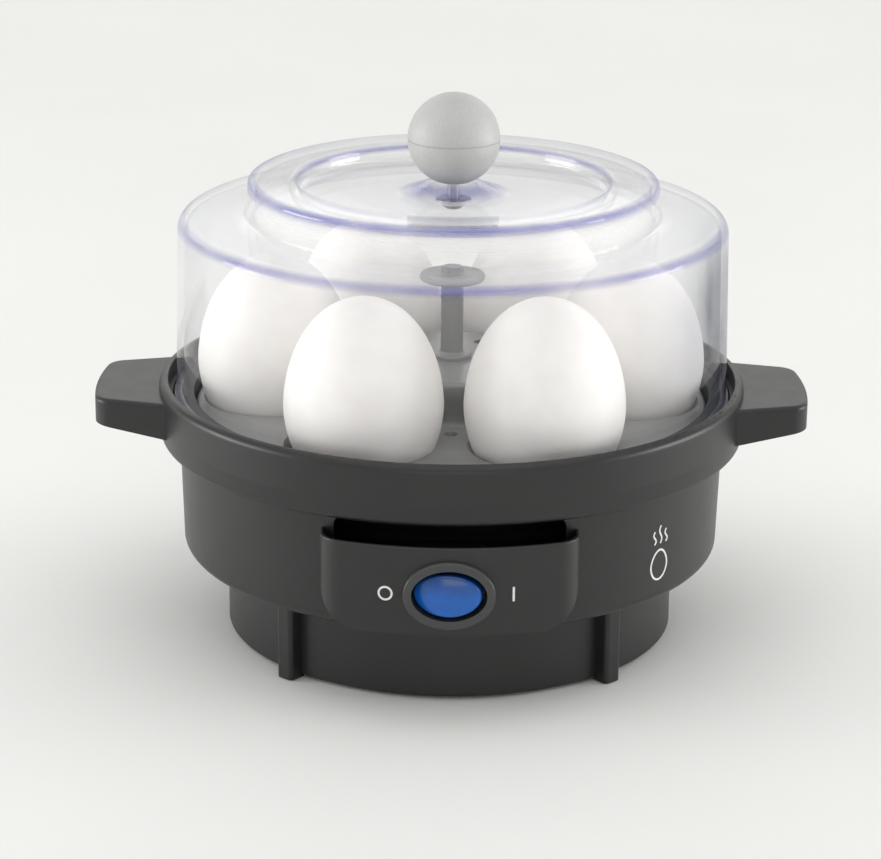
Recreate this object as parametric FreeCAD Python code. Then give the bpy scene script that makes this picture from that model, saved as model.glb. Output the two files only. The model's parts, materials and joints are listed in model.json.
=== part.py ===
"""Six-egg electric egg cooker, modelled as its separate pieces, one STEP file per piece.

Millimetres. +Z is up, the switch side faces -Y and the origin is the centre of the footprint on the
table. Every round piece is coaxial with Z.
"""
import FreeCAD, Part
import math
import os

V = FreeCAD.Vector
X_AXIS, Y_AXIS, Z_AXIS = V(1, 0, 0), V(0, 1, 0), V(0, 0, 1)

# ---------------------------------------------------------------- driving dimensions
WALL = 2.2                    # moulded housing walls

PLINTH_R = 64.0
PLINTH_BOTTOM = 1.0           # the plinth's edge stays clear of the table
BOWL_BOTTOM = 24.3
BOWL_R_LOW, BOWL_R_TOP = 76.4, 77.7
BOWL_TOP = 67.3
RIB_ANGLES = (42, 138, 222, 318)   # degrees round from the front
RIB_R, RIB_THICK, RIB_BOTTOM = 68.0, 5.5, 0.3

COLLAR_R, COLLAR_LOW, COLLAR_TOP = 83.0, 56.7, 73.7
COLLAR_SEAT_R = 79.2          # bore round the basin's flange
COLLAR_LIP_R = 80.4           # wider well above it, round the lid's wall
EAR_REACH, EAR_TOP = 101.0, 70.7
EAR_ROOT_X, EAR_ROOT_HALF, EAR_ROOT_LOW = 72.0, 25.9, 59.4
EAR_TIP_X, EAR_TIP_HALF, EAR_TIP_LOW = 103.0, 17.6, 63.6

LID_SEAT = 69.7               # top of the basin's flange
TRAY_LEDGE = 64.5
BASIN_FLOOR = 44.0
BASIN_FLOOR_R = 60.0
DISH_HOLE_R = 50.0

LID_GAP = 0.15                # the lid's foot above its seat
LID_T = 2.0
LID_FOOT_R, LID_WALL_R = 78.1, 76.9
SHOULDER = 120.2
CROWN_R, CROWN = 57.4, 130.6
RECESS_R, RECESS_FLOOR = 43.6, 126.7
BOSS_TOP, BOSS_TOP_R, BOSS_FOOT_R = 129.8, 6.5, 14.5

KNOB_R, KNOB_Z = 12.9, 141.7
KNOB_WALL = 2.0

TRAY_R, TRAY_TOP, TRAY_T = 72.4, 66.5, 2.0
SEAT_RING_R = 50.0            # circle of the six egg seats
SEAT_ANGLES = (30, 90, 150, 210, 270, 330)
SEAT_R_TOP, SEAT_R_LOW, SEAT_LOW, SEAT_WALL = 20.5, 17.4, 61.5, 1.6
HUB_R_LOW, HUB_R_TOP, HUB_TOP = 27.6, 26.6, 78.5
STEAM_RING_R, HUB_STEAM_RING_R = 34.0, 17.0
POST_R, POST_TOP = 3.2, 105.1
GRIP_R, GRIP_LOW, GRIP_HIGH = 9.2, 101.2, 103.0

DISH_T = 0.8
DISH_R, DISH_BOTTOM = 48.0, 42.6
SEAL_TOP = 45.5
STUD_RING_R, STUD_R = 40.0, 2.0
STUD_ANGLES = (60, 180, 300)
CLAMP_R_IN, CLAMP_R_OUT = 35.6, 52.4
CLAMP_LOW, CLAMP_HIGH = 40.6, 41.8

ELEMENT_RING_R, ELEMENT_R = 30.0, 3.2
ELEMENT_GAP = 30              # half of the C's opening, degrees
ELEMENT_BEND = 6.0
PIN_X = (ELEMENT_RING_R * math.sin(math.radians(ELEMENT_GAP))
         - ELEMENT_BEND * math.cos(math.radians(ELEMENT_GAP)))
PIN_Y = (ELEMENT_RING_R * math.cos(math.radians(ELEMENT_GAP))
         + ELEMENT_BEND * math.sin(math.radians(ELEMENT_GAP)))
PIN_LOW = 21.4

STRAP_LOW, STRAP_T = 35.2, 1.0
STRAP_SCREW_X, STRAP_SCREW_R = (-44, 44), 1.5
THERMOSTAT_R, THERMOSTAT_LOW = 8.0, 26.5
FUSE_X = 19.0

SCREW_RING_R = 56.4
SCREW_ANGLES = (45, 135, 225, 315)
BOSS_R, BOSS_BORE_R, SCREW_R = 3.6, 1.5, 1.45

FASCIA_R, FASCIA_HALF = 85.0, 34.3
FASCIA_CORNER, FASCIA_EDGE = 10.5, 8.0   # lower corners, and the upright edges at the sides
FASCIA_LIP, FASCIA_LIP_DEPTH = 0.9, 5.0  # the wall thins towards its open top
FASCIA_LOW, FASCIA_HIGH = 27.6, 52.0
VENT_HALF, VENT_LOW, VENT_HIGH = 30.8, 30.0, 56.2   # window in the bowl behind the fascia
SWITCH_Z = 39.0
BEZEL_A, BEZEL_B = 12.2, 9.4      # oval half-width and half-height
MOUTH_A, MOUTH_B = 10.0, 7.0
NECK_A, NECK_B = 10.8, 8.7
ROCKER_A, ROCKER_B = 9.1, 5.9
ROCKER_CREST, ROCKER_BACK = -87.4, -81.5
ROCKER_REST = -8.0                # degrees about the pivot, the "off" side pressed in
BEZEL_FRONT = -86.2
BODY_FRONT, BODY_BACK = -79.6, -66.0
BLADE_X, BLADE_LOW = 4.5, 29.5

BASE_LOW, BASE_TOP, BASE_R = 1.6, 4.0, 61.5
FOOT_R, FOOT_RING_R, FOOT_TOP = 7.0, 44.0, 2.4

GLAND_Z, GLAND_BORE_R, GLAND_R = 38.0, 3.5, 6.0
GLAND_START, GLAND_END = 70.0, 87.4


# ---------------------------------------------------------------- helpers
def around(ring_r, degrees, z=0.0):
    """Point on a circle about Z; 0 degrees is the front (-Y), turning towards +X."""
    a = math.radians(degrees)
    return V(ring_r * math.sin(a), -ring_r * math.cos(a), z)


def rounded_wire(corners, closed=True):
    """Wire through (point, radius) corners: straight runs joined by tangent arcs."""
    count = len(corners)
    spans = []
    for i, (point, radius) in enumerate(corners):
        at_end = not closed and i in (0, count - 1)
        if at_end or radius == 0:
            spans.append((point, None, point))
            continue
        to_last = (corners[i - 1][0] - point).normalize()
        to_next = (corners[(i + 1) % count][0] - point).normalize()
        half = to_last.getAngle(to_next) / 2
        bisector = (to_last + to_next).normalize()
        reach = radius / math.tan(half)
        middle = point + bisector * (radius / math.sin(half) - radius)
        spans.append((point + to_last * reach, middle, point + to_next * reach))
    edges = []
    for i, (start, middle, end) in enumerate(spans):
        if middle is not None:
            edges.append(Part.Arc(start, middle, end).toShape())
        last = not closed and i == count - 1
        following = spans[(i + 1) % count][0]
        if not last and end.distanceToPoint(following) > 1e-6:
            edges.append(Part.LineSegment(end, following).toShape())
    return Part.Wire(edges)


def turned(profile):
    """Solid of revolution about Z from (radius, z[, corner radius]) points."""
    corners = [(V(p[0], 0, p[1]), p[2] if len(p) > 2 else 0) for p in profile]
    return Part.Face(rounded_wire(corners)).revolve(V(0, 0, 0), Z_AXIS, 360)


def plan_prism(outline, low, high):
    """Prism over (x, y[, corner radius]) points in plan."""
    corners = [(V(p[0], p[1], low), p[2] if len(p) > 2 else 0) for p in outline]
    return Part.Face(rounded_wire(corners)).extrude(V(0, 0, high - low))


def front_prism(outline, y_from, y_to):
    """Prism along Y over (x, z[, corner radius]) points seen from the front."""
    corners = [(V(p[0], y_from, p[1]), p[2] if len(p) > 2 else 0) for p in outline]
    return Part.Face(rounded_wire(corners)).extrude(V(0, y_to - y_from, 0))


def rod(radius, base, direction, length):
    return Part.makeCylinder(radius, length, base, direction)


def pillar(radius, low, high, centre=V(0, 0, 0)):
    return rod(radius, V(centre.x, centre.y, low), Z_AXIS, high - low)


def ring(inner, outer, low, high, centre=V(0, 0, 0)):
    return pillar(outer, low, high, centre).cut(pillar(inner, low, high, centre))


def cone(r_low, r_high, low, high, centre):
    return Part.makeCone(r_low, r_high, high - low, V(centre.x, centre.y, low), Z_AXIS)


def disc(radius, centre, normal):
    return Part.Face(Part.Wire([Part.makeCircle(radius, centre, normal)]))


def box(x0, x1, y0, y1, z0, z1):
    return Part.makeBox(x1 - x0, y1 - y0, z1 - z0, V(x0, y0, z0))


def oval(half_width, half_height, y_from, y_to):
    """Oval prism along Y, centred on the switch."""
    curve = Part.Ellipse(V(0, 0, 0), half_width, half_height).toShape()
    face = Part.Face(Part.Wire([curve]))
    face.rotate(V(0, 0, 0), X_AXIS, 90)
    face.translate(V(0, y_from, SWITCH_Z))
    return face.extrude(V(0, y_to - y_from, 0))


def hexagon(circumradius, low, high, centre):
    points = [(centre.x + circumradius * math.cos(math.radians(60 * k)),
               centre.y + circumradius * math.sin(math.radians(60 * k))) for k in range(6)]
    return plan_prism(points, low, high)


def spun(shape, degrees):
    """Copy of a shape turned about Z, from the front towards +X."""
    copy = shape.copy()
    copy.rotate(V(0, 0, 0), Z_AXIS, degrees)
    return copy


def joined(shapes):
    first, rest = shapes[0], shapes[1:]
    return first.fuse(rest).removeSplitter() if rest else first


def bowl_outside(clearance=0.0, low=0.0):
    """Solid filled out to the bowl wall's outer face."""
    slope = (BOWL_R_TOP - BOWL_R_LOW) / (BOWL_TOP - BOWL_BOTTOM)
    r_low = BOWL_R_LOW + slope * (low - BOWL_BOTTOM)
    return turned([(0, low), (r_low + clearance, low), (BOWL_R_TOP + clearance, BOWL_TOP),
                   (0, BOWL_TOP)])


# ---------------------------------------------------------------- lid
def lid_shell():
    foot = LID_SEAT + LID_GAP
    under = RECESS_FLOOR - LID_T
    shell = turned([
        (LID_FOOT_R, foot, 0.5), (LID_WALL_R, SHOULDER, 3.2), (CROWN_R + 0.3, SHOULDER, 1.0),
        (CROWN_R, CROWN, 1.5), (RECESS_R + 0.4, CROWN, 1.2), (RECESS_R - 0.4, RECESS_FLOOR, 1.2),
        (BOSS_FOOT_R, RECESS_FLOOR, 9.0), (BOSS_TOP_R, BOSS_TOP, 0.4), (2.0, BOSS_TOP),
        (2.0, under), (RECESS_R + 1.6, under, 2.0), (RECESS_R + 2.2, CROWN - LID_T, 0.8),
        (CROWN_R - LID_T, CROWN - LID_T, 0.8), (CROWN_R - LID_T, SHOULDER - LID_T, 2.0),
        (LID_WALL_R - LID_T, SHOULDER - LID_T, 1.5), (LID_FOOT_R - LID_T, foot, 0.5)])
    vents = [pillar(1.6, under - 1, RECESS_FLOOR + 1, V(x, 28, 0)) for x in (-6, 0, 6)]
    return shell.cut(vents)


def knob_ball():
    centre = V(0, 0, KNOB_Z)
    seam = Part.makeTorus(KNOB_R, 0.25, centre, Z_AXIS)
    return Part.makeSphere(KNOB_R, centre).cut(seam)


def lid_knob_upper():
    hollow = Part.makeSphere(KNOB_R - KNOB_WALL, V(0, 0, KNOB_Z))
    dome = knob_ball().cut([hollow, pillar(20, KNOB_Z - 20, KNOB_Z)])
    spigot = ring(9.4, 10.5, KNOB_Z - 2.0, KNOB_Z + 0.4)
    root = ring(9.4, 11.4, KNOB_Z, KNOB_Z + 1.6)
    return joined([dome, spigot, root])


def lid_knob_lower():
    hollow = Part.makeSphere(KNOB_R - KNOB_WALL, V(0, 0, KNOB_Z))
    cup = knob_ball().cut([hollow, pillar(20, KNOB_Z, KNOB_Z + 20), pillar(20, 100, BOSS_TOP)])
    post = pillar(4.0, BOSS_TOP, KNOB_Z - 0.2)
    return joined([cup, post]).cut(pillar(1.65, BOSS_TOP - 1, KNOB_Z - 1.5))


def knob_screw():
    seat = RECESS_FLOOR - LID_T - 0.7
    head = turned([(0, seat - 2.0), (2.4, seat - 2.0, 0.8), (3.5, seat - 0.9, 0.3), (3.5, seat),
                   (0, seat)])
    slots = [box(-1.7, 1.7, -0.4, 0.4, seat - 3, seat - 1.1),
             box(-0.4, 0.4, -1.7, 1.7, seat - 3, seat - 1.1)]
    return joined([head, pillar(1.6, seat, KNOB_Z - 2.5)]).cut(slots)


def knob_washer():
    under = RECESS_FLOOR - LID_T
    return ring(1.8, 5.0, under - 0.7, under)


# ---------------------------------------------------------------- tray
def egg_tray():
    low = TRAY_TOP - TRAY_T
    body = turned([
        (2.6, HUB_TOP), (HUB_R_TOP, HUB_TOP, 1.5), (HUB_R_LOW, TRAY_TOP, 1.5),
        (TRAY_R, TRAY_TOP, 0.8), (TRAY_R, low), (HUB_R_LOW - TRAY_T, low),
        (HUB_R_TOP - TRAY_T, HUB_TOP - TRAY_T, 1.0), (2.6, HUB_TOP - TRAY_T)])
    cups, hollows = [], []
    for angle in SEAT_ANGLES:
        seat = around(SEAT_RING_R, angle)
        cups.append(cone(SEAT_R_LOW + SEAT_WALL, SEAT_R_TOP + SEAT_WALL - 0.6, SEAT_LOW, TRAY_TOP,
                         seat))
        hollows.append(cone(SEAT_R_LOW, SEAT_R_TOP, SEAT_LOW, TRAY_TOP, seat))
        hollows.append(pillar(SEAT_R_LOW, SEAT_LOW - 1, SEAT_LOW + 1, seat))
    steam = [pillar(2.0, low - 1, TRAY_TOP + 1, around(STEAM_RING_R, angle - 30))
             for angle in SEAT_ANGLES]
    steam += [pillar(2.2, HUB_TOP - 4, HUB_TOP + 1, around(HUB_STEAM_RING_R, angle))
              for angle in SEAT_ANGLES]
    return joined([body] + cups).cut(hollows + steam)


def tray_post():
    return turned([
        (0, 71.0), (2.5, 71.0, 0.4), (2.5, HUB_TOP), (5.6, HUB_TOP), (5.6, HUB_TOP + 1.4, 0.6),
        (POST_R, HUB_TOP + 1.4, 0.8), (POST_R, GRIP_LOW, 0.8), (GRIP_R, GRIP_LOW, 0.7),
        (GRIP_R, GRIP_HIGH, 0.7), (POST_R, GRIP_HIGH, 0.6), (POST_R, POST_TOP, 0.8),
        (0, POST_TOP)])


def tray_post_nut():
    high = HUB_TOP - TRAY_T
    return hexagon(4.6, high - 3.2, high, V(0, 0, 0)).cut(pillar(2.55, high - 4, high + 1))


# ---------------------------------------------------------------- housing
def ear(side):
    """Side handle: tapered slab with a round end, deeper at its root and hollow underneath."""
    def wedge(inset, root_x, reach, low, top, corner):
        slope = (EAR_ROOT_HALF - EAR_TIP_HALF) / (EAR_TIP_X - EAR_ROOT_X)
        root_half = EAR_ROOT_HALF - inset - slope * (root_x - EAR_ROOT_X)
        tip_half = EAR_TIP_HALF - inset
        block = plan_prism([(root_x, -root_half), (EAR_TIP_X, -tip_half), (EAR_TIP_X, tip_half),
                            (root_x, root_half)], low, top)
        block = block.common(pillar(reach, low, top))
        ends = [e for e in block.Edges if e.BoundBox.ZLength > top - low - 1e-3
                and e.BoundBox.XMin > root_x + 5]
        return block.makeFillet(corner, ends)

    low = EAR_ROOT_LOW - 1
    slab = wedge(0, EAR_ROOT_X, EAR_REACH, low, EAR_TOP, 6.0)
    side_view = front_prism([(EAR_ROOT_X, EAR_ROOT_LOW), (EAR_TIP_X, EAR_TIP_LOW),
                             (EAR_TIP_X, EAR_TOP + 1), (EAR_ROOT_X, EAR_TOP + 1)], -40, 40)
    slab = slab.common(side_view)
    rim = [e for e in slab.Edges if e.BoundBox.ZMin > EAR_TOP - 1e-3
           and e.BoundBox.XMax > EAR_ROOT_X + 1]
    slab = slab.makeFillet(1.3, rim)
    slab = slab.cut(wedge(4.0, COLLAR_R + 1.5, EAR_REACH - 3.6, low - 1, EAR_TOP - 2.6, 3.0))
    return slab if side > 0 else slab.mirror(V(0, 0, 0), X_AXIS)


def rim_collar():
    bore = BOWL_R_TOP + 0.2
    well_floor = LID_SEAT - 0.7
    band = turned([
        (COLLAR_SEAT_R, BOWL_TOP), (COLLAR_SEAT_R, well_floor), (COLLAR_LIP_R, well_floor),
        (COLLAR_LIP_R, COLLAR_TOP, 0.3), (COLLAR_R - 0.1, COLLAR_TOP, 2.1),
        (COLLAR_R, COLLAR_LOW + 6, 0), (COLLAR_R - 0.4, COLLAR_LOW, 2.0), (bore, COLLAR_LOW, 0.3),
        (bore, BOWL_TOP)])
    ears = [ear(+1), ear(-1)]
    keep_out = pillar(COLLAR_R - 1.5, COLLAR_LOW - 5, COLLAR_TOP + 5)
    return joined([band] + [e.cut(keep_out) for e in ears])


def basin_shell():
    outer = BOWL_R_TOP + 1.2
    shell = turned([
        (outer, LID_SEAT, 0.4), (outer, BOWL_TOP), (75.2, BOWL_TOP), (75.2, TRAY_LEDGE - 1.2, 1.0),
        (73.4, 60.9, 1.0), (BASIN_FLOOR_R + 2.7, 47.6, 2.0),
        (BASIN_FLOOR_R + WALL, BASIN_FLOOR - WALL, 1.0), (DISH_HOLE_R, BASIN_FLOOR - WALL),
        (DISH_HOLE_R, BASIN_FLOOR),
        (BASIN_FLOOR_R, BASIN_FLOOR, 0.5), (BASIN_FLOOR_R + 0.5, 48.5, 3.0), (71.2, 61.8, 1.5),
        (71.2, TRAY_LEDGE), (73.0, TRAY_LEDGE), (73.0, LID_SEAT, 0.4)])
    pillars = [pillar(BOSS_R, BASE_TOP, BASIN_FLOOR - 1, around(SCREW_RING_R, a))
               for a in SCREW_ANGLES]
    bores = [pillar(BOSS_BORE_R, BASE_TOP - 1, 33, around(SCREW_RING_R, a)) for a in SCREW_ANGLES]
    return joined([shell] + pillars).cut(bores)


def rib(angle):
    outline = [(-RIB_THICK / 2, -PLINTH_R + 1.2, 0), (-RIB_THICK / 2, -RIB_R, 1.2),
               (RIB_THICK / 2, -RIB_R, 1.2), (RIB_THICK / 2, -PLINTH_R + 1.2, 0)]
    return spun(plan_prism(outline, RIB_BOTTOM, BOWL_BOTTOM + 0.5), angle)


def lower_housing():
    inner = PLINTH_R - WALL
    shell = turned([
        (BOWL_R_TOP, BOWL_TOP), (BOWL_R_LOW, BOWL_BOTTOM, 3.4), (PLINTH_R, BOWL_BOTTOM, 1.0),
        (PLINTH_R, PLINTH_BOTTOM, 0.8), (inner, PLINTH_BOTTOM), (inner, BASE_TOP),
        (inner - 1.4, BASE_TOP), (inner - 1.4, BASE_TOP + 1.5), (inner, BASE_TOP + 1.5),
        (inner, BOWL_BOTTOM + WALL, 0), (BOWL_R_LOW - WALL, BOWL_BOTTOM + WALL, 1.5),
        (BOWL_R_TOP - WALL, BOWL_TOP)])
    body = joined([shell] + [rib(a) for a in RIB_ANGLES])
    window = front_prism([(-VENT_HALF, VENT_LOW, 3), (VENT_HALF, VENT_LOW, 3),
                          (VENT_HALF, VENT_HIGH, 3), (-VENT_HALF, VENT_HIGH, 3)], -82, -66)
    gland_hole = rod(GLAND_R + 0.1, V(0, 60, GLAND_Z), Y_AXIS, 30)
    return body.cut([window, gland_hole])


def base_plate():
    plate = turned([(0, BASE_LOW), (BASE_R, BASE_LOW, 0.6), (BASE_R, BASE_TOP), (0, BASE_TOP)])
    cuts = []
    for angle in SCREW_ANGLES:
        at = around(SCREW_RING_R, angle)
        cuts.append(pillar(1.7, BASE_LOW - 1, BASE_TOP + 1, at))
        cuts.append(pillar(3.3, BASE_LOW - 1, BASE_LOW + 1.2, at))
    for angle in (0, 90, 180, 270):
        cuts.append(pillar(FOOT_R + 0.1, BASE_LOW - 1, FOOT_TOP, around(FOOT_RING_R, angle)))
    for x in range(-15, 16, 6):
        cuts.append(plan_prism([(x - 1.2, -14, 1.1), (x + 1.2, -14, 1.1), (x + 1.2, 14, 1.1),
                                (x - 1.2, 14, 1.1)], BASE_LOW - 1, BASE_TOP + 1))
    return plate.cut(cuts)


def rubber_foot(angle):
    foot = turned([(0, 0), (FOOT_R - 0.6, 0, 0.6), (FOOT_R, BASE_LOW, 0.4), (FOOT_R, FOOT_TOP),
                   (0, FOOT_TOP)])
    foot.translate(around(FOOT_RING_R, angle))
    return foot


def housing_screws():
    screws = []
    for angle in SCREW_ANGLES:
        at = around(SCREW_RING_R, angle)
        seat = BASE_LOW + 1.2
        head = pillar(3.0, BASE_LOW + 0.1, seat, at)
        slot = box(at.x - 2, at.x + 2, at.y - 0.4, at.y + 0.4, BASE_LOW - 1, BASE_LOW + 0.6)
        screws.append(joined([head, pillar(SCREW_R, seat, 30, at)]).cut(slot))
    return Part.makeCompound(screws)


# ---------------------------------------------------------------- heating parts
def heating_plate():
    dish = turned([
        (0, DISH_BOTTOM), (DISH_R, DISH_BOTTOM, 2.0), (DISH_R + 0.8, SEAL_TOP, 0.5),
        (BASIN_FLOOR_R - 0.6, SEAL_TOP, 0.0), (BASIN_FLOOR_R - 0.6, SEAL_TOP + DISH_T, 0.3),
        (DISH_R, SEAL_TOP + DISH_T, 1.2), (DISH_R - 0.8, DISH_BOTTOM + DISH_T, 1.4),
        (9.0, DISH_BOTTOM + DISH_T, 0.5), (8.0, DISH_BOTTOM + DISH_T + 0.6, 0.5),
        (0, DISH_BOTTOM + DISH_T + 0.6)])
    studs = [pillar(STUD_R, 34.5, DISH_BOTTOM + 0.3, around(STUD_RING_R, a)) for a in STUD_ANGLES]
    return joined([dish] + studs)


def plate_seal():
    return turned([(51.0, BASIN_FLOOR), (57.5, BASIN_FLOOR), (57.5, SEAL_TOP, 0.4),
                   (51.0, SEAL_TOP, 0.4)])


def plate_clamp():
    clamp = ring(CLAMP_R_IN, CLAMP_R_OUT, CLAMP_LOW, CLAMP_HIGH)
    holes = [pillar(STUD_R + 0.2, CLAMP_LOW - 1, CLAMP_HIGH + 1, around(STUD_RING_R, a))
             for a in STUD_ANGLES]
    holes += [pillar(STRAP_SCREW_R + 0.1, CLAMP_LOW - 1, CLAMP_HIGH + 1, V(x, 0, 0))
              for x in STRAP_SCREW_X]
    return clamp.cut(holes)


def plate_nuts():
    nuts = []
    for angle in STUD_ANGLES:
        at = around(STUD_RING_R, angle)
        nut = hexagon(4.0, CLAMP_LOW - 3.2, CLAMP_LOW, at)
        nuts.append(nut.cut(pillar(STUD_R + 0.05, CLAMP_LOW - 4, CLAMP_LOW + 1, at)))
    return Part.makeCompound(nuts)


def heating_element():
    """C-shaped tube with both ends bent down at the back, and a thin pin out of each end."""
    z = DISH_BOTTOM - ELEMENT_R
    start = around(ELEMENT_RING_R, 180 + ELEMENT_GAP, z)
    pieces = [disc(ELEMENT_R, start, Z_AXIS.cross(around(1, 180 + ELEMENT_GAP)))
              .revolve(V(0, 0, 0), Z_AXIS, 360 - 2 * ELEMENT_GAP)]
    for sign in (1, -1):
        end = around(ELEMENT_RING_R, 180 + sign * ELEMENT_GAP, z)
        outward = around(1, 180 + sign * ELEMENT_GAP)
        along = Z_AXIS.cross(outward) * (-sign)
        pivot = end - Z_AXIS * ELEMENT_BEND
        foot = pivot + along * ELEMENT_BEND
        pieces.append(disc(ELEMENT_R, end, along).revolve(pivot, outward * sign, 90))
        pieces.append(rod(ELEMENT_R, foot - Z_AXIS * 5, Z_AXIS, 5))
        pieces.append(rod(1.4, V(foot.x, foot.y, PIN_LOW), Z_AXIS, foot.z - 4.5 - PIN_LOW))
    return joined(pieces)


def thermostat():
    seat = STRAP_LOW + STRAP_T
    body = pillar(THERMOSTAT_R, STRAP_LOW - 1.7, DISH_BOTTOM)
    flange = pillar(THERMOSTAT_R + 3, seat, seat + 1)
    blades = [box(x - 0.4, x + 0.4, -3, 3, THERMOSTAT_LOW, STRAP_LOW) for x in (-4, 4)]
    return joined([body, flange] + blades)


def thermostat_strap():
    """Cranked strip across the clamp ring, with an eye round the thermostat."""
    low, mid = STRAP_LOW, STRAP_LOW + STRAP_T
    high, under = CLAMP_LOW, CLAMP_LOW - STRAP_T
    outline = [(-49, high), (-49, under), (-38.6, under), (-38.6, low), (38.6, low), (38.6, under),
               (49, under), (49, high), (37.6, high), (37.6, mid), (-37.6, mid), (-37.6, high)]
    strap = front_prism(outline, -5, 5)
    eye = pillar(THERMOSTAT_R + 5, low, mid)
    holes = [pillar(STRAP_SCREW_R + 0.1, under - 1, high + 1, V(x, 0, 0)) for x in STRAP_SCREW_X]
    return joined([strap, eye]).cut(holes + [pillar(THERMOSTAT_R + 0.2, low - 1, mid + 1)])


def strap_screws():
    screws = []
    seat = CLAMP_LOW - STRAP_T
    for x in STRAP_SCREW_X:
        head = turned([(0, seat - 1.7), (2.0, seat - 1.7, 0.6), (2.8, seat - 0.7, 0.2), (2.8, seat),
                       (0, seat)])
        head.translate(V(x, 0, 0))
        screws.append(joined([head, pillar(STRAP_SCREW_R, seat, CLAMP_HIGH + 0.4, V(x, 0, 0))]))
    return Part.makeCompound(screws)


def thermal_fuse():
    """Sleeved fuse held between the dish and the strap, with a lead out of each end."""
    low = STRAP_LOW + STRAP_T
    radius = (DISH_BOTTOM - low) / 2
    centre = V(FUSE_X, 0, low + radius)
    barrel = rod(radius, centre - Y_AXIS * 6, Y_AXIS, 12)
    lead = rod(0.5, centre - Y_AXIS * 10, Y_AXIS, 20)
    return joined([barrel, lead])


# ---------------------------------------------------------------- switch
def control_fascia():
    """Cover bowed round the axis, open at the top, standing off the bowl wall."""
    def plan(offset):
        half = FASCIA_HALF - offset
        radius = FASCIA_R - offset
        block = plan_prism([(-half, -60), (-half, -95, 0), (half, -95, 0), (half, -60)],
                           FASCIA_LOW + offset, FASCIA_HIGH)
        side_y = -math.sqrt(radius ** 2 - half ** 2)
        corner = V(half, side_y, 0)
        block = block.common(pillar(radius, FASCIA_LOW - 1, FASCIA_HIGH + 1))
        edges = [e for e in block.Edges if abs(abs(e.BoundBox.XMin) - corner.x) < 1e-3
                 and abs(e.BoundBox.XLength) < 1e-6 and abs(e.BoundBox.YLength) < 1e-6
                 and abs(e.BoundBox.YMin - corner.y) < 1e-3]
        return block.makeFillet(FASCIA_EDGE - offset, edges)

    face = front_prism([(-FASCIA_HALF, FASCIA_LOW, FASCIA_CORNER),
                        (FASCIA_HALF, FASCIA_LOW, FASCIA_CORNER),
                        (FASCIA_HALF, FASCIA_HIGH), (-FASCIA_HALF, FASCIA_HIGH)], -95, -60)
    inset = front_prism([(-FASCIA_HALF + WALL, FASCIA_LOW + WALL, FASCIA_CORNER - WALL),
                         (FASCIA_HALF - WALL, FASCIA_LOW + WALL, FASCIA_CORNER - WALL),
                         (FASCIA_HALF - WALL, FASCIA_HIGH + 5, 0),
                         (-FASCIA_HALF + WALL, FASCIA_HIGH + 5, 0)], -95, -60)
    outer = plan(0.0).common(face)
    top_edges = [e for e in outer.Edges if abs(e.BoundBox.ZMin - FASCIA_HIGH) < 1e-3
                 and e.BoundBox.YMin < -77]
    outer = outer.makeFillet(0.5, top_edges)
    hollow = plan(WALL).common(inset)
    lip = plan(FASCIA_LIP).common(box(-60, 60, -95, -60, FASCIA_HIGH - FASCIA_LIP_DEPTH, 60))
    hole = oval(NECK_A + 0.15, NECK_B + 0.15, -95, -75)
    return outer.cut([hollow, lip, hole, bowl_outside(0.1)])


def switch_bezel():
    flange = oval(BEZEL_A, BEZEL_B, BEZEL_FRONT, -80).cut(pillar(FASCIA_R, 20, 60))
    front_edges = [e for e in flange.Edges if abs(e.BoundBox.YMax - BEZEL_FRONT) < 1e-3]
    flange = flange.makeFillet(0.45, front_edges)
    neck = oval(NECK_A, NECK_B, BEZEL_FRONT + 0.6, BODY_FRONT)
    pins = pillar(1.28, SWITCH_Z - 12, SWITCH_Z + 12, V(0, ROCKER_BACK, 0))
    return joined([flange, neck]).cut([oval(MOUTH_A, MOUTH_B, -95, -70), pins])


def switch_rocker():
    """Oval cap with a domed face and two trunnions, turned to its off position."""
    bulge_r = 17.0
    cap = oval(ROCKER_A, ROCKER_B, -95, ROCKER_BACK)
    dome = Part.makeSphere(bulge_r, V(0, ROCKER_CREST + bulge_r, SWITCH_Z))
    cap = cap.common(dome)
    rim_edges = [e for e in cap.Edges if e.BoundBox.YMax < ROCKER_BACK - 0.5
                 and e.BoundBox.XLength > ROCKER_A]
    cap = cap.makeFillet(1.1, rim_edges)
    trunnion = pillar(1.2, SWITCH_Z - NECK_B + 0.3, SWITCH_Z + NECK_B - 0.3,
                      V(0, ROCKER_BACK, 0))
    rocker = joined([cap, trunnion])
    rocker.rotate(V(0, ROCKER_BACK, 0), Z_AXIS, ROCKER_REST)
    return rocker


def switch_body():
    outline = [(-9.5, SWITCH_Z - 8, 1.5), (9.5, SWITCH_Z - 8, 1.5), (9.5, SWITCH_Z + 8, 1.5),
               (-9.5, SWITCH_Z + 8, 1.5)]
    body = front_prism(outline, BODY_FRONT, BODY_BACK)
    return body.cut(oval(7.0, 5.0, BODY_FRONT - 1, BODY_FRONT + 3))


def switch_terminals():
    blades = []
    for x in (-BLADE_X, BLADE_X):
        blade = box(x - 0.4, x + 0.4, BODY_BACK, BODY_BACK + 9, BLADE_LOW, BLADE_LOW + 6)
        hole = rod(0.9, V(x - 2, BODY_BACK + 6.5, BLADE_LOW + 3), X_AXIS, 4)
        blades.append(blade.cut(hole))
    return Part.makeCompound(blades)


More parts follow.
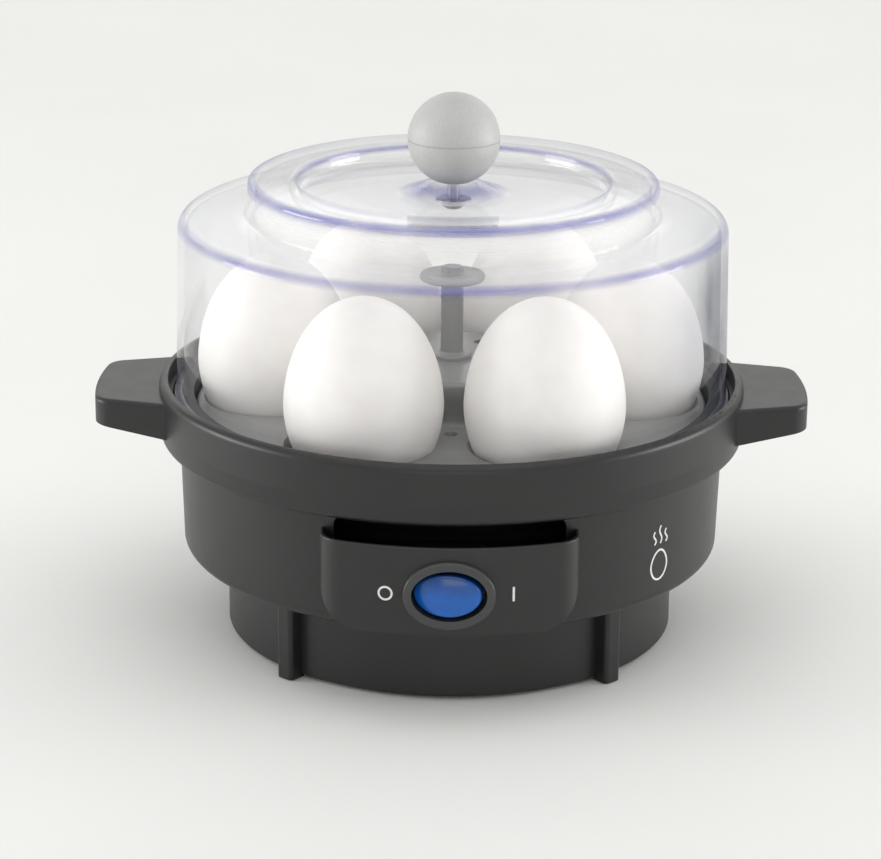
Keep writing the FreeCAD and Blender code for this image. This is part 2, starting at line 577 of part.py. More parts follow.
# ---------------------------------------------------------------- mains entry and wires
def cord_gland():
    """Gland round the mains lead's entry: barb inside, sleeve through the wall, nose outside."""
    def along_y(profile):
        piece = turned(profile)
        piece.rotate(V(0, 0, 0), X_AXIS, -90)
        piece.translate(V(0, 0, GLAND_Z))
        return piece

    nose = along_y([(GLAND_BORE_R, 75), (9.0, 75), (9.0, 79.4, 0.8), (6.4, 79.4, 0.6),
                    (5.4, GLAND_END, 1.0), (GLAND_BORE_R, GLAND_END)])
    sleeve = along_y([(GLAND_BORE_R, GLAND_START), (8.0, GLAND_START, 0.4), (8.0, 72.2, 0.4),
                      (GLAND_R, 72.2), (GLAND_R, 78), (GLAND_BORE_R, 78)])
    return joined([nose.cut(bowl_outside()), sleeve])


def terminal_block():
    block = plan_prism([(-13, 41, 1), (13, 41, 1), (13, 52, 1), (-13, 52, 1)], BASE_TOP, 14)
    ways = []
    for x in (-8, 0, 8):
        ways.append(pillar(2.0, 9, 15, V(x, 46.5, 0)))
        ways.append(rod(1.6, V(x, 40, 8), Y_AXIS, 13))
    return block.cut(ways)


def wire(route, bend, radius=1.1):
    """Insulated wire: straight runs joined by tangent arcs."""
    corners = [(V(*point), bend) for point in route]
    path = rounded_wire(corners, closed=False)
    start = corners[0][0]
    section = Part.Wire([Part.makeCircle(radius, start, corners[1][0] - start)])
    return path.makePipeShell([section], True, False)


def wire_live():
    """From the terminal block to the switch's first blade."""
    return wire([(-8, 40.5, 8), (-8, 32, 8), (-30, 10, 9), (-30, -30, 10), (-BLADE_X, -58.2, 12),
                 (-BLADE_X, -58.2, BLADE_LOW)], 7.0)


def wire_heater():
    """From the switch's second blade to the heater's first pin."""
    return wire([(BLADE_X, -58.2, BLADE_LOW), (BLADE_X, -58.2, 13), (28, -34, 12), (34, 0, 12),
                 (24, 24, 12), (PIN_X, PIN_Y, 12), (PIN_X, PIN_Y, PIN_LOW)], 4.5)


def wire_link():
    """From the heater's second pin to the thermostat."""
    return wire([(-PIN_X, PIN_Y, PIN_LOW), (-PIN_X, PIN_Y, 14), (-4, 12, 13), (-4, 0, 17),
                 (-4, 0, THERMOSTAT_LOW)], 3.0)


def wire_neutral():
    """From the thermostat back to the terminal block."""
    return wire([(4, 0, THERMOSTAT_LOW), (4, 0, 14), (0, 24, 8), (0, 40.5, 8)], 5.0)


# ---------------------------------------------------------------- output
PARTS = {
    "lid_shell": lid_shell,
    "lid_knob_upper": lid_knob_upper,
    "lid_knob_lower": lid_knob_lower,
    "knob_screw": knob_screw,
    "knob_washer": knob_washer,
    "egg_tray": egg_tray,
    "tray_post": tray_post,
    "tray_post_nut": tray_post_nut,
    "rim_collar": rim_collar,
    "basin_shell": basin_shell,
    "lower_housing": lower_housing,
    "base_plate": base_plate,
    "housing_screws": housing_screws,
    "heating_plate": heating_plate,
    "plate_seal": plate_seal,
    "plate_clamp": plate_clamp,
    "plate_nuts": plate_nuts,
    "heating_element": heating_element,
    "thermostat": thermostat,
    "thermostat_strap": thermostat_strap,
    "strap_screws": strap_screws,
    "thermal_fuse": thermal_fuse,
    "control_fascia": control_fascia,
    "switch_bezel": switch_bezel,
    "switch_rocker": switch_rocker,
    "switch_body": switch_body,
    "switch_terminals": switch_terminals,
    "cord_gland": cord_gland,
    "terminal_block": terminal_block,
    "wire_live": wire_live,
    "wire_heater": wire_heater,
    "wire_link": wire_link,
    "wire_neutral": wire_neutral,
}


def main():
    os.makedirs("parts", exist_ok=True)
    shapes = {name: make() for name, make in PARTS.items()}
    for number, angle in enumerate((0, 90, 180, 270), start=1):
        shapes[f"rubber_foot_{number}"] = rubber_foot(angle)
    for name, shape in shapes.items():
        shape.exportStep(f"parts/{name}.step")
        print(f"{name}: solids {len(shape.Solids)} valid {shape.isValid()} "
              f"volume {shape.Volume:.0f} box {shape.BoundBox}")


main()
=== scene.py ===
"""Looks, labels, light and camera for the egg cooker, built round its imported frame.

Metres. +Z is up and the switch side faces -Y, as in the frame. Every round piece is coaxial with Z.
"""
import bpy
import bmesh
import json
import math
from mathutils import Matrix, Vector


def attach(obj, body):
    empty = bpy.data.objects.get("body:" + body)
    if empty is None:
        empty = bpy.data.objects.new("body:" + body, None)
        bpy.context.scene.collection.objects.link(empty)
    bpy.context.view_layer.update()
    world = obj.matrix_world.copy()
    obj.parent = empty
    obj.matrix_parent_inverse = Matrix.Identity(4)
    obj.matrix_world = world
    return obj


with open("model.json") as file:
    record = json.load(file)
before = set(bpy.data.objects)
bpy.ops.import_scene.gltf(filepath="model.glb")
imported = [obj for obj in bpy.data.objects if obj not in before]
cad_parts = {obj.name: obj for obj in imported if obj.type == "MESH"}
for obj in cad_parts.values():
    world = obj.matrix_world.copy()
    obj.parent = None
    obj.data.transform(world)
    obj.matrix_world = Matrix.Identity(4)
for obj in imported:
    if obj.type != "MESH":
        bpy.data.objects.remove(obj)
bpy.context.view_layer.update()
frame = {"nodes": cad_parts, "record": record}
NODES = frame["nodes"]
MM = 0.001


# ---------------------------------------------------------------- camera
def make_camera():
    """Long lens, 18 degrees above the table, square on to the switch."""
    data = bpy.data.cameras.new("camera")
    data.sensor_width = 36.0
    data.lens = 121.8
    data.clip_start, data.clip_end = 0.02, 60.0
    camera = bpy.data.objects.new("camera", data)
    camera.location = (0, -0.811, 0.3248)
    camera.rotation_euler = [math.radians(a) for a in (71.696, -0.504, 0.378)]
    bpy.context.scene.collection.objects.link(camera)
    bpy.context.scene.camera = camera


# ---------------------------------------------------------------- node helpers
class Finish:
    """A material with one Principled shader, and short ways to add procedural detail to it."""

    def __init__(self, name, **values):
        self.material = bpy.data.materials.new(name)
        self.material.use_nodes = True
        self.tree = self.material.node_tree
        self.shader = self.tree.nodes["Principled BSDF"]
        self.output = self.tree.nodes["Material Output"]
        self.height = None
        self.set(**values)

    def set(self, **values):
        for key, value in values.items():
            socket = self.shader.inputs[key.replace("_", " ")]
            if isinstance(value, tuple) and len(value) == 3 and len(socket.default_value) == 4:
                value = (*value, 1.0)
            socket.default_value = value

    def node(self, kind, **values):
        new = self.tree.nodes.new("ShaderNode" + kind)
        for key, value in values.items():
            if key in new.inputs:
                new.inputs[key].default_value = value
            else:
                setattr(new, key, value)
        return new

    def link(self, out, into):
        self.tree.links.new(out, into)

    def place(self, stretch=(1, 1, 1)):
        """Position in the frame's coordinates, in metres, scaled per axis."""
        coords = self.node("TexCoord")
        mapping = self.node("Mapping")
        mapping.inputs["Scale"].default_value = stretch
        self.link(coords.outputs["Object"], mapping.inputs["Vector"])
        return mapping.outputs["Vector"]

    def noise(self, per_metre, detail=2.0, rough=0.5, at=None):
        noise = self.node("TexNoise", Scale=per_metre, Detail=detail, Roughness=rough)
        self.link(at or self.place(), noise.inputs["Vector"])
        return noise.outputs["Fac"]

    def spread(self, value, low, high, start=0.0, end=1.0):
        """Maps a 0..1 value to low..high, using only start..end of it."""
        span = self.node("MapRange")
        span.inputs["From Min"].default_value = start
        span.inputs["From Max"].default_value = end
        span.inputs["To Min"].default_value = low
        span.inputs["To Max"].default_value = high
        self.link(value, span.inputs["Value"])
        return span.outputs["Result"]

    def math(self, operation, first, second=0.5):
        node = self.node("Math", operation=operation)
        self.link(first, node.inputs[0])
        if isinstance(second, (int, float)):
            node.inputs[1].default_value = second
        else:
            self.link(second, node.inputs[1])
        return node.outputs["Value"]

    def product(self, first, second):
        return self.math("MULTIPLY", first, second)

    def largest(self, first, *others):
        for other in others:
            first = self.math("MAXIMUM", first, other)
        return first

    def tinted(self, share, low, high):
        """Colour between two given ones, by a 0..1 share."""
        mix = self.node("MixRGB", Color1=(*low, 1), Color2=(*high, 1))
        self.link(share, mix.inputs["Fac"])
        return mix

    def shades(self, value, dark, light, start=0.3, end=0.7):
        """Colour between two shades, driven by a 0..1 value."""
        ramp = self.node("ValToRGB")
        stops = ramp.color_ramp.elements
        stops[0].position, stops[1].position = start, end
        stops[0].color, stops[1].color = (*dark, 1), (*light, 1)
        self.link(value, ramp.inputs["Fac"])
        self.link(ramp.outputs["Color"], self.shader.inputs["Base Color"])

    def roughness(self, value, low, high):
        self.link(self.spread(value, low, high), self.shader.inputs["Roughness"])

    def bump(self, height, depth, strength=1.0):
        """Adds a relief of that depth, in metres, on top of any set before."""
        bump = self.node("Bump", Strength=strength, Distance=depth)
        self.link(height, bump.inputs["Height"])
        if self.height is not None:
            self.link(self.height, bump.inputs["Normal"])
        self.height = bump.outputs["Normal"]
        self.link(self.height, self.shader.inputs["Normal"])

    def radius(self):
        """Distance from the Z axis, in metres."""
        flat = self.node("VectorMath", operation="MULTIPLY")
        self.link(self.place(), flat.inputs[0])
        flat.inputs[1].default_value = (1, 1, 0)
        length = self.node("VectorMath", operation="LENGTH")
        self.link(flat.outputs["Vector"], length.inputs[0])
        return length.outputs["Value"]

    def position(self, axis):
        """Position along X, Y or Z, in metres."""
        parts = self.node("SeparateXYZ")
        self.link(self.place(), parts.inputs["Vector"])
        return parts.outputs[axis]

    def hump(self, value, centre, half_width):
        """1 where the value is at the centre, falling smoothly to 0 at half_width either side."""
        away = self.math("ABSOLUTE", self.math("SUBTRACT", value, centre))
        span = self.node("MapRange", interpolation_type="SMOOTHSTEP")
        span.inputs["From Min"].default_value = 0.0
        span.inputs["From Max"].default_value = half_width
        span.inputs["To Min"].default_value = 1.0
        span.inputs["To Max"].default_value = 0.0
        self.link(away, span.inputs["Value"])
        return span.outputs["Result"]


# ---------------------------------------------------------------- finishes
def add_grain(finish):
    """Fine spark-eroded grain over a faint waviness of the mould."""
    finish.bump(finish.noise(5200, detail=1.0), 0.00002, 0.35)
    finish.bump(finish.noise(60, detail=1.0), 0.00012, 0.25)


def moulded_plastic(name, dark, light, rough):
    """Injection-moulded plastic: grain, faint flow clouds and rubbed patches."""
    finish = Finish(name, IOR=1.5)
    clouds = finish.noise(18, detail=3.0)
    finish.shades(clouds, dark, light)
    wear = finish.noise(140, detail=4.0, rough=0.6)
    finish.roughness(wear, rough - 0.05, rough + 0.06)
    add_grain(finish)
    return finish.material


TRAY_SHADE_R, TRAY_SHADE_Z = 27.2, 72     # middle of the painted shade on the wall round the tray's raised middle, mm


def tray_plastic():
    """Satin grey moulding, with painted shade darkening the wall of its raised middle and the plate
    round its foot.
    """
    finish = Finish("tray_plastic", IOR=1.5)
    # painted shade: a dark band round the wall of the raised middle, fading onto the plate
    wall = finish.product(finish.hump(finish.radius(), TRAY_SHADE_R * MM, 4.5 * MM),
                          finish.hump(finish.position("Z"), TRAY_SHADE_Z * MM, 9 * MM))
    clouds = finish.spread(finish.noise(18, detail=3.0), 0.7, 1.0)
    clouds_and_painted_shade = finish.math("SUBTRACT", clouds, finish.spread(wall, 0.0, 0.75))
    finish.shades(clouds_and_painted_shade, (0.06, 0.06, 0.06), (0.32, 0.32, 0.32), 0.1, 1.0)
    finish.roughness(finish.noise(140, detail=4.0, rough=0.6), 0.27, 0.38)
    add_grain(finish)
    return finish.material


# Rings of the lid where the light runs along the wall: radius, height, half-width of each in mm,
# then how strong the ring is at the front and at the back.
LID_BANDS = (
    (76.2, 118.9, 2.3, 0.62, 0.12),     # outside of the shoulder
    (57.0, 129.7, 2.5, 0.80, 0.14),     # edge of the crown
    (43.6, 129.6, 1.5, 0.12, 0.80),     # step down to the recess
    (9.5, 128.4, 6.5, 0.95, 0.50),      # boss under the knob
    (77.8, 70.4, 1.6, 0.20, 0.20),      # foot
)
BAND_FRONT_Y, BAND_BACK_Y = -62, 50     # the rings fade between these, mm
# Zones that look milky because they catch the light: inner and outer radius, low, high, strength.
LID_VEILS = (
    (58.5, 75.5, 117.0, 121.0, 0.24),   # flat of the shoulder
    (54.0, 58.6, 120.8, 128.6, 0.42),   # wall of the crown
    (3.0, 43.0, 124.0, 127.6, 0.12),    # recess
)
WALL_TOP, SHOULDER = 108, 118           # heights between which the lid's wall turns in, mm
SHADE_START_X, SHADE_END_X = 40, 74         # painted shade darkens the wall between these along X, mm
DARK_REFLECTION_X, DARK_REFLECTION_Z = 74.4, 92           # middle of the painted dark reflection at the wall's right edge, mm
# painted light: violet colours the rings where light runs along the wall, milky colours the zones
# that catch the light
VIOLET, MILKY = (0.15, 0.15, 0.45), (0.96, 0.955, 0.95)
CLEAR = (0.994, 0.994, 0.996)
# the second edge colour is the painted shade on the right of the wall
EDGE_LEFT, EDGE_RIGHT_SHADE = (0.96, 0.963, 0.98), (0.36, 0.38, 0.44)


def lid_bands(finish, radius, height):
    """Strength of the violet rings, streaky along their length."""
    frontward = finish.spread(finish.position("Y"), 1.0, 0.0, BAND_FRONT_Y * MM, BAND_BACK_Y * MM)
    rings = []
    for r, z, reach, front, back in LID_BANDS:
        ring = finish.product(finish.hump(radius, r * MM, reach * MM),
                              finish.hump(height, z * MM, reach * MM))
        rings.append(finish.product(ring, finish.spread(frontward, back, front)))
    streaks = finish.noise(1.0, detail=1.5, at=finish.place((45, 45, 12)))
    return finish.product(finish.largest(*rings), finish.spread(streaks, 0.72, 1.2, 0.3, 0.7))


def lid_veils(finish, radius, height):
    """Strength of the milky zones."""
    zones = []
    for inner, outer, low, high, strength in LID_VEILS:
        across = finish.hump(radius, (inner + outer) / 2 * MM, (outer - inner) * 0.6 * MM)
        up = finish.hump(height, (low + high) / 2 * MM, (high - low) * 0.75 * MM)
        zones.append(finish.product(finish.product(across, up), strength))
    return finish.largest(*zones)


def lid_see_through(finish, height, facing):
    """Light straight through, tinted where the wall is seen edge on, darker on the right by painted
    shade, with a painted dark reflection at the wall's right edge.
    """
    across = finish.position("X")
    wall = finish.spread(height, 1.0, 0.0, WALL_TOP * MM, SHOULDER * MM)
    # painted shade: the wall grows darker towards its right side
    right_shade = finish.spread(across, -0.2, 0.8, SHADE_START_X * MM, SHADE_END_X * MM)
    right_shade = finish.math("ADD", finish.product(right_shade, wall), 0.2)
    edge_tint_and_shade = finish.tinted(right_shade, EDGE_LEFT, EDGE_RIGHT_SHADE)

    # painted dark reflection: a streak down the wall's right edge
    painted_reflection = finish.product(finish.hump(across, DARK_REFLECTION_X * MM, 2.0 * MM),
                            finish.hump(height, DARK_REFLECTION_Z * MM, 26 * MM))
    grazing = finish.math("POWER", facing, 3.0)
    tint = finish.tinted(finish.largest(grazing, finish.product(painted_reflection, 0.75)), CLEAR, EDGE_LEFT)
    finish.link(edge_tint_and_shade.outputs["Color"], tint.inputs["Color2"])
    through = finish.node("BsdfTransparent")
    finish.link(tint.outputs["Color"], through.inputs["Color"])
    return through.outputs["BSDF"]


def clear_plastic():
    """Water-clear moulding, with painted light: violet where the light runs along its corners, and
    milky on top where it catches the light.
    """
    finish = Finish("clear_plastic", Roughness=0.06, IOR=1.56)
    radius, height = finish.radius(), finish.position("Z")
    bands = lid_bands(finish, radius, height)
    veils = lid_veils(finish, radius, height)

    banded = finish.spread(bands, 0.0, 1.0, 0.0, 0.10)
    violet = finish.tinted(banded, MILKY, VIOLET)
    finish.link(violet.outputs["Color"], finish.shader.inputs["Base Color"])
    soft = finish.largest(banded, finish.spread(veils, 0.0, 1.0, 0.0, 0.08))
    finish.link(finish.spread(soft, 1.0, 0.0), finish.shader.inputs["Metallic"])
    finish.bump(finish.noise(38, detail=1.5), 0.0001, 0.25)

    layer = finish.node("LayerWeight", Blend=0.5)
    finish.link(finish.height, layer.inputs["Normal"])
    facing = layer.outputs["Facing"]
    gloss = finish.spread(finish.math("POWER", facing, 5.0), 0.03, 0.6)
    mix = finish.node("MixShader")
    finish.link(finish.largest(gloss, bands, veils), mix.inputs["Fac"])
    finish.link(lid_see_through(finish, height, facing), mix.inputs[1])
    finish.link(finish.shader.outputs["BSDF"], mix.inputs[2])
    finish.link(mix.outputs["Shader"], finish.output.inputs["Surface"])
    return finish.material


def silver_plastic():
    """Plastic with fine metal flakes in it, and a satin face."""
    finish = Finish("silver_plastic", Metallic=0.15, IOR=1.5, Specular_IOR_Level=0.35)
    flakes = finish.node("TexVoronoi", Scale=4200.0)
    finish.link(finish.place(), flakes.inputs["Vector"])
    finish.shades(flakes.outputs["Distance"], (0.42, 0.425, 0.415), (0.535, 0.54, 0.53), 0.1, 0.8)
    finish.roughness(finish.noise(120, detail=3.0), 0.54, 0.62)
    finish.bump(finish.noise(3800, detail=1.0), 0.00001, 0.4)
    return finish.material


ROCKER_SHADE_LOW, ROCKER_SHADE_HIGH = 33, 45.5      # heights between which painted shade darkens the rocker, mm


def blue_plastic():
    """Tinted rocker, glossy and slightly translucent, with painted shade darkening it towards the
    top.
    """
    finish = Finish("blue_plastic", IOR=1.5, Coat_Weight=0.08, Coat_Roughness=0.1,
                    Subsurface_Weight=0.12, Subsurface_Radius=(0.0006, 0.001, 0.003),
                    Subsurface_Scale=1.0)
    # painted shade: the rocker darkens towards its top
    painted_shade_up = finish.spread(finish.position("Z"), 0.0, 1.0, ROCKER_SHADE_LOW * MM, ROCKER_SHADE_HIGH * MM)
    clouds_and_shade = finish.math("ADD", painted_shade_up, finish.spread(finish.noise(240, detail=2.5), -0.15, 0.15))
    finish.shades(clouds_and_shade, (0.002, 0.100, 0.43), (0.006, 0.024, 0.11), 0.45, 1.0)
    finish.roughness(finish.noise(300, detail=2.0), 0.16, 0.26)
    finish.bump(finish.noise(900, detail=1.0), 0.00002, 0.25)
    return finish.material


def turned_steel():
    """Stainless sheet, brushed in rings about Z."""
    finish = Finish("steel", Metallic=1.0)
    rings = finish.node("CombineXYZ")
    finish.link(finish.radius(), rings.inputs["X"])
    lines = finish.noise(3000, detail=3.0, rough=0.6, at=rings.outputs["Vector"])
    stains = finish.noise(70, detail=4.0)
    finish.shades(stains, (0.52, 0.52, 0.51), (0.66, 0.66, 0.65))
    finish.roughness(lines, 0.22, 0.40)
    finish.bump(lines, 0.00001, 0.5)
    return finish.material


def heater_sheath():
    """Drawn steel tube, browned by heat."""
    finish = Finish("heater_sheath", Metallic=0.9)
    finish.shades(finish.noise(110, detail=4.0, rough=0.6), (0.16, 0.12, 0.10), (0.36, 0.34, 0.33))
    finish.roughness(finish.noise(500, detail=3.0), 0.38, 0.6)
    finish.bump(finish.noise(1800, detail=2.0), 0.00002, 0.4)
    return finish.material


def brass():
    finish = Finish("brass", Metallic=1.0)
    finish.shades(finish.noise(300, detail=4.0), (0.52, 0.38, 0.15), (0.72, 0.56, 0.28))
    finish.roughness(finish.noise(800, detail=3.0), 0.25, 0.45)
    return finish.material


def ceramic():
    """White steatite body of the thermal parts."""
    finish = Finish("ceramic", IOR=1.55)
    finish.shades(finish.noise(200, detail=3.0), (0.62, 0.59, 0.53), (0.78, 0.76, 0.70))
    finish.roughness(finish.noise(600, detail=2.0), 0.35, 0.5)
    finish.bump(finish.noise(2500, detail=1.0), 0.00002, 0.3)
    return finish.material


def rubber(name, dark, light):
    finish = Finish(name, IOR=1.45, Sheen_Weight=0.15, Sheen_Roughness=0.6)
    finish.shades(finish.noise(90, detail=4.0), dark, light)
    finish.roughness(finish.noise(700, detail=3.0), 0.62, 0.8)
    finish.bump(finish.noise(1500, detail=2.0), 0.00004, 0.5)
    return finish.material


def braided(name, dark, light):
    """Glass-fibre sleeve woven round a wire."""
    finish = Finish(name, IOR=1.45)
    weave = finish.node("TexWave", Scale=900.0, Distortion=2.0, bands_direction="DIAGONAL")
    finish.link(finish.place(), weave.inputs["Vector"])
    finish.shades(weave.outputs["Fac"], dark, light)
    finish.roughness(finish.noise(900, detail=2.0), 0.55, 0.75)
    finish.bump(weave.outputs["Fac"], 0.00008, 0.6)
    return finish.material


def white_ink():
    finish = Finish("white_ink", IOR=1.45)
    finish.shades(finish.noise(900, detail=3.0), (0.66, 0.66, 0.65), (0.80, 0.80, 0.79))
    finish.roughness(finish.noise(900, detail=2.0), 0.5, 0.65)
    return finish.material


def egg_shell():
    finish = Finish("egg_shell", IOR=1.4, Subsurface_Weight=0.1, Subsurface_Scale=1.0,
                    Subsurface_Radius=(0.003, 0.002, 0.0015))
    finish.shades(finish.noise(160, detail=3.0), (0.92, 0.89, 0.865), (0.96, 0.94, 0.915))
    finish.roughness(finish.noise(500, detail=2.0), 0.48, 0.6)
    finish.bump(finish.noise(1600, detail=2.0), 0.00003, 0.5)
    return finish.material


FINISHES = {
    "clear_plastic": clear_plastic(),
    "silver_plastic": silver_plastic(),
    "tray_plastic": tray_plastic(),
    "black_plastic": moulded_plastic("black_plastic", (0.009, 0.009, 0.0093),
                                     (0.013, 0.013, 0.013), 0.40),
    "black_gloss": moulded_plastic("black_gloss", (0.036, 0.038, 0.039),
                                   (0.046, 0.048, 0.049), 0.34),
    "blue_plastic": blue_plastic(),
    "steel": turned_steel(),
    "heater_sheath": heater_sheath(),
    "thermostat_body": ceramic(),
    "brass": brass(),
    "seal_rubber": rubber("seal_rubber", (0.38, 0.05, 0.035), (0.50, 0.08, 0.05)),
    "foot_rubber": rubber("foot_rubber", (0.022, 0.022, 0.022), (0.04, 0.04, 0.04)),
    "white_plastic": moulded_plastic("white_plastic", (0.66, 0.66, 0.62), (0.76, 0.76, 0.72), 0.42),
    "wire_brown": braided("wire_brown", (0.10, 0.04, 0.02), (0.26, 0.12, 0.06)),
    "wire_white": braided("wire_white", (0.55, 0.55, 0.52), (0.78, 0.78, 0.75)),
    "wire_blue": braided("wire_blue", (0.02, 0.06, 0.25), (0.06, 0.14, 0.44)),
}


def dress_nodes():
    """Puts each CAD node's finish in its material slots."""
    for entry in frame["record"]["subparts"]:
        node = NODES[entry["node"]]
        finish = FINISHES[entry["material_slot"]]
        node.data.materials.clear()
        node.data.materials.append(finish)


# ---------------------------------------------------------------- mesh helpers
SMOOTH_BELOW = 40       # degrees; sharper edges stay sharp


def mesh_object(name, bm, finish):
    mesh = bpy.data.meshes.new(name)
    bm.to_mesh(mesh)
    bm.free()
    mesh.shade_smooth()
    mesh.set_sharp_from_angle(angle=math.radians(SMOOTH_BELOW))
    mesh.materials.append(finish)
    piece = bpy.data.objects.new(name, mesh)
    bpy.context.scene.collection.objects.link(piece)
    return piece


# ---------------------------------------------------------------- printed marks
FASCIA_R = 85.0
BOWL_R_LOW, BOWL_R_TOP, BOWL_LOW_Z, BOWL_TOP_Z = 76.4, 77.7, 24.3, 67.3
INK_PROUD, INK_DEEP = 0.06, 0.2     # mm above and below the plastic's face
OFF_X, OFF_Z = -16.8, 38.8          # the marks beside the rocker, mm
ON_X, ON_Z = 16.9, 38.9
EGG_MARK_ANGLE, EGG_MARK_Z = 48.0, 35.5
WISPS = ((-2.4, 10.0), (0.0, 11.4), (2.4, 10.0))    # place across and top of each, mm
WISP_LOW, WISP_SWAY = 6.2, 0.55


def oval_path(half_wide, half_high, steps=48, narrow_top=0.0):
    """Closed oval of (across, up) points in mm, slimmer at the top for an egg."""
    points = []
    for k in range(steps):
        turn = 2 * math.pi * k / steps
        slim = 1 - narrow_top * max(math.sin(turn), 0.0)
        points.append((half_wide * slim * math.cos(turn), half_high * math.sin(turn)))
    return points


def wisp_path(across, low, high, sway, steps=20):
    """Open S-shaped line of steam."""
    return [(across + sway * math.sin(2 * math.pi * k / steps), low + (high - low) * k / steps)
            for k in range(steps + 1)]


def add_stroke(bm, path, width, closed, lift_to):
    """Line of ink along the path: a flat band that follows the face under it."""
    count = len(path)
    sections = []
    for k, (across, up) in enumerate(path):
        before = path[k - 1] if closed or k > 0 else path[k]
        after = path[(k + 1) % count] if closed or k < count - 1 else path[k]
        run = Vector((after[0] - before[0], after[1] - before[1])).normalized() * width / 2
        left, right = (across - run.y, up + run.x), (across + run.y, up - run.x)
        sections.append([bm.verts.new(lift_to(*side, proud)) for side, proud in
                         ((left, INK_PROUD), (right, INK_PROUD), (right, -INK_DEEP),
                          (left, -INK_DEEP))])
    spans = count if closed else count - 1
    for k in range(spans):
        here, there = sections[k], sections[(k + 1) % count]
        for side in range(4):
            following = (side + 1) % 4
            bm.faces.new((here[side], here[following], there[following], there[side]))
    if not closed:
        bm.faces.new(reversed(sections[0]))
        bm.faces.new(sections[-1])


def printed(name, strokes, radius_at, angle, height, finish):
    """Ink on a round face: strokes are (path, width, closed), placed round a point of the face."""
    def lift_to(across, up, proud):
        z = height + up
        r = radius_at(z)
        turn = math.radians(angle) + across / r
        return ((r + proud) * math.sin(turn) * MM, -(r + proud) * math.cos(turn) * MM, z * MM)

    bm = bmesh.new()
    for path, width, closed in strokes:
        add_stroke(bm, path, width, closed, lift_to)
    bmesh.ops.recalc_face_normals(bm, faces=bm.faces)
    piece = mesh_object(name, bm, finish)
    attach(piece, "housing")


def print_marks():
    """Plain off and on symbols beside the rocker, and an egg with steam over it on the bowl."""
    ink = white_ink()
    bowl_slope = (BOWL_R_TOP - BOWL_R_LOW) / (BOWL_TOP_Z - BOWL_LOW_Z)

    def fascia_at(z):
        return FASCIA_R

    def bowl_at(z):
        return BOWL_R_LOW + bowl_slope * (z - BOWL_LOW_Z)

    def beside_rocker(x):
        return math.degrees(math.asin(x / FASCIA_R))

    ring, bar = oval_path(1.75, 1.75), [(0, -2.0), (0, 0), (0, 2.0)]
    printed("mark_off", [(ring, 0.55, True)], fascia_at, beside_rocker(OFF_X), OFF_Z, ink)
    printed("mark_on", [(bar, 0.6, False)], fascia_at, beside_rocker(ON_X), ON_Z, ink)
    strokes = [(oval_path(3.4, 4.3, narrow_top=0.14), 0.55, True)]
    strokes += [(wisp_path(x, WISP_LOW, high, WISP_SWAY), 0.5, False) for x, high in WISPS]
    printed("mark_egg", strokes, bowl_at, EGG_MARK_ANGLE, EGG_MARK_Z, ink)


# ---------------------------------------------------------------- eggs, floor and light (not parts)
EGG_R, EGG_LOW, EGG_HIGH, EGG_WIDEST = 22.0 * MM, 51.0 * MM, 108.0 * MM, 78.5 * MM
EGG_TAPER = 0.05
SEAT_RING_R = 50.0 * MM
# Seat's angle in degrees, the egg's size, and its shift from the seat's middle in mm.
EGGS = ((30, 1.0, 0.3, 0.0), (90, 0.985, 0.0, 0.4), (150, 1.0, -0.3, 0.0), (210, 0.99, 0.3, 0.2),
        (270, 1.0, 0.0, -0.3), (330, 0.99, 1.3, 0.0))


def egg(name, angle, size, shift_x, shift_y, finish):
    """Hen's egg standing on its blunt end in the tray."""
    bm = bmesh.new()
    bmesh.ops.create_uvsphere(bm, u_segments=64, v_segments=48, radius=1.0)
    for v in bm.verts:
        up = v.co.z
        reach = (EGG_HIGH - EGG_WIDEST) if up > 0 else (EGG_WIDEST - EGG_LOW)
        slim = 1.0 - EGG_TAPER * max(up, 0.0) * (1 - max(up, 0.0))
        wide = EGG_R * slim * size
        v.co = Vector((v.co.x * wide, v.co.y * wide, EGG_WIDEST + up * reach * size))
    turn = math.radians(angle)
    bmesh.ops.translate(bm, verts=bm.verts, vec=(SEAT_RING_R * math.sin(turn) + shift_x * MM,
                                                 -SEAT_RING_R * math.cos(turn) + shift_y * MM, 0))
    piece = mesh_object(name, bm, finish)
    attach(piece, "tray")


FLOOR_FLAT_R, COVE_R, FLOOR_WALL_TOP = 2.6, 1.0, 3.2
FLOOR_SIDES = 96


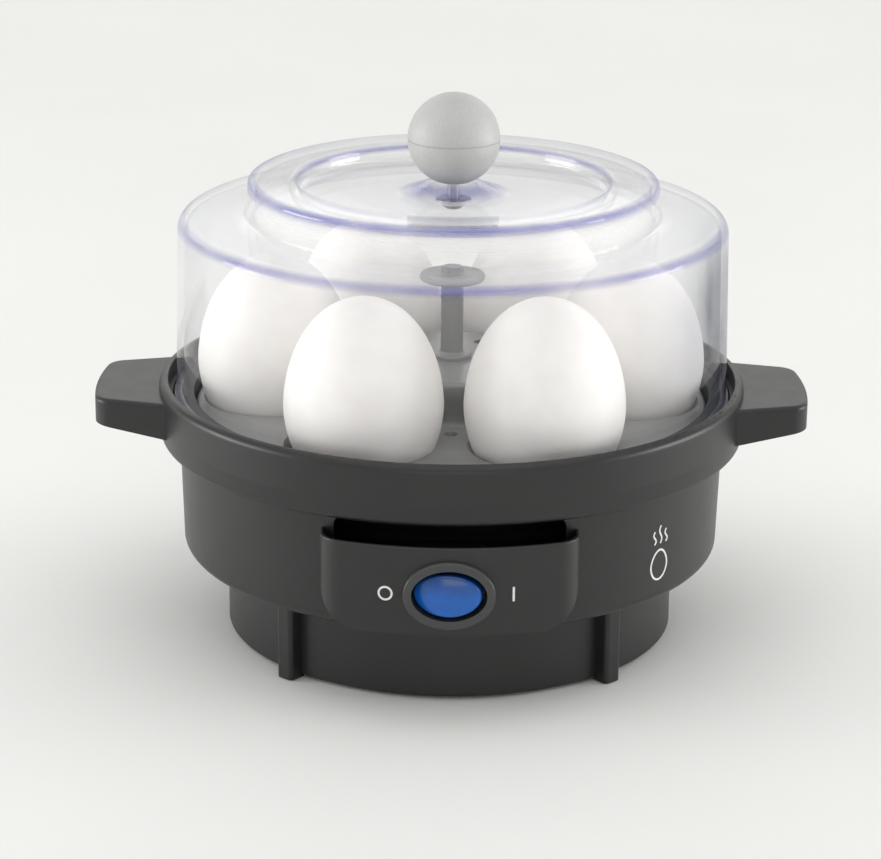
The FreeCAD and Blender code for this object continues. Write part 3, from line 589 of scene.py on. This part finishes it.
def floor():
    """Pale round table that turns up into a wall far outside the object."""
    finish = Finish("studio_floor", Roughness=0.9, IOR=1.3)
    finish.shades(finish.noise(6, detail=3.0), (0.80, 0.80, 0.785), (0.82, 0.82, 0.805))
    profile = [(0.0, 0.0), (0.4, 0.0), (1.2, 0.0), (FLOOR_FLAT_R, 0.0)]
    profile += [(FLOOR_FLAT_R + COVE_R * math.sin(a), COVE_R * (1 - math.cos(a)))
                for a in (math.radians(10 * k) for k in range(1, 10))]
    profile.append((FLOOR_FLAT_R + COVE_R, FLOOR_WALL_TOP))
    turns = [2 * math.pi * k / FLOOR_SIDES for k in range(FLOOR_SIDES)]
    bm = bmesh.new()
    rings = [[bm.verts.new((r * math.cos(t), r * math.sin(t), z)) for t in turns if r or not t]
             for r, z in profile]
    for inner, outer in zip(rings, rings[1:]):
        for k in range(FLOOR_SIDES):
            following = (k + 1) % FLOOR_SIDES
            if len(inner) == 1:
                bm.faces.new((inner[0], outer[k], outer[following]))
            else:
                bm.faces.new((inner[k], outer[k], outer[following], inner[following]))
    mesh_object("floor", bm, finish.material)


# Name, place, width and height in metres, power in watts.
LAMPS = (
    ("overhead", (0.0, -0.5, 1.6), (1.6, 1.6), 4.2),
    ("front_fill", (0.0, -1.5, 0.30), (1.2, 0.4), 2.6),
    ("window_left", (-1.1, -0.02, 0.22), (0.6, 0.4), 6.0),
    ("window_right", (1.1, 0.02, 0.22), (0.6, 0.4), 6.0),
    ("behind", (0.0, 1.7, 0.85), (2.6, 0.6), 5.5),
)
LAMPS_AIM = Vector((0, 0, 0.07))


def lamp(name, at, size, watts):
    data = bpy.data.lights.new(name, "AREA")
    data.shape = "RECTANGLE"
    data.size, data.size_y = size
    data.energy = watts
    light = bpy.data.objects.new(name, data)
    light.location = at
    light.rotation_euler = (LAMPS_AIM - Vector(at)).to_track_quat("-Z", "Y").to_euler()
    bpy.context.scene.collection.objects.link(light)


def studio():
    world = bpy.data.worlds.new("studio")
    world.use_nodes = True
    sky = world.node_tree.nodes["Background"]
    sky.inputs["Color"].default_value = (1.0, 1.0, 0.995, 1)
    sky.inputs["Strength"].default_value = 0.91
    bpy.context.scene.world = world
    bpy.context.scene.view_settings.view_transform = "Standard"
    for name, at, size, watts in LAMPS:
        lamp(name, at, size, watts)


# ---------------------------------------------------------------- build
make_camera()
dress_nodes()
print_marks()
shell_finish = egg_shell()
for number, (seat_angle, scale, right, back) in enumerate(EGGS, start=1):
    egg(f"egg_{number}", seat_angle, scale, right, back, shell_finish)
floor()
studio()
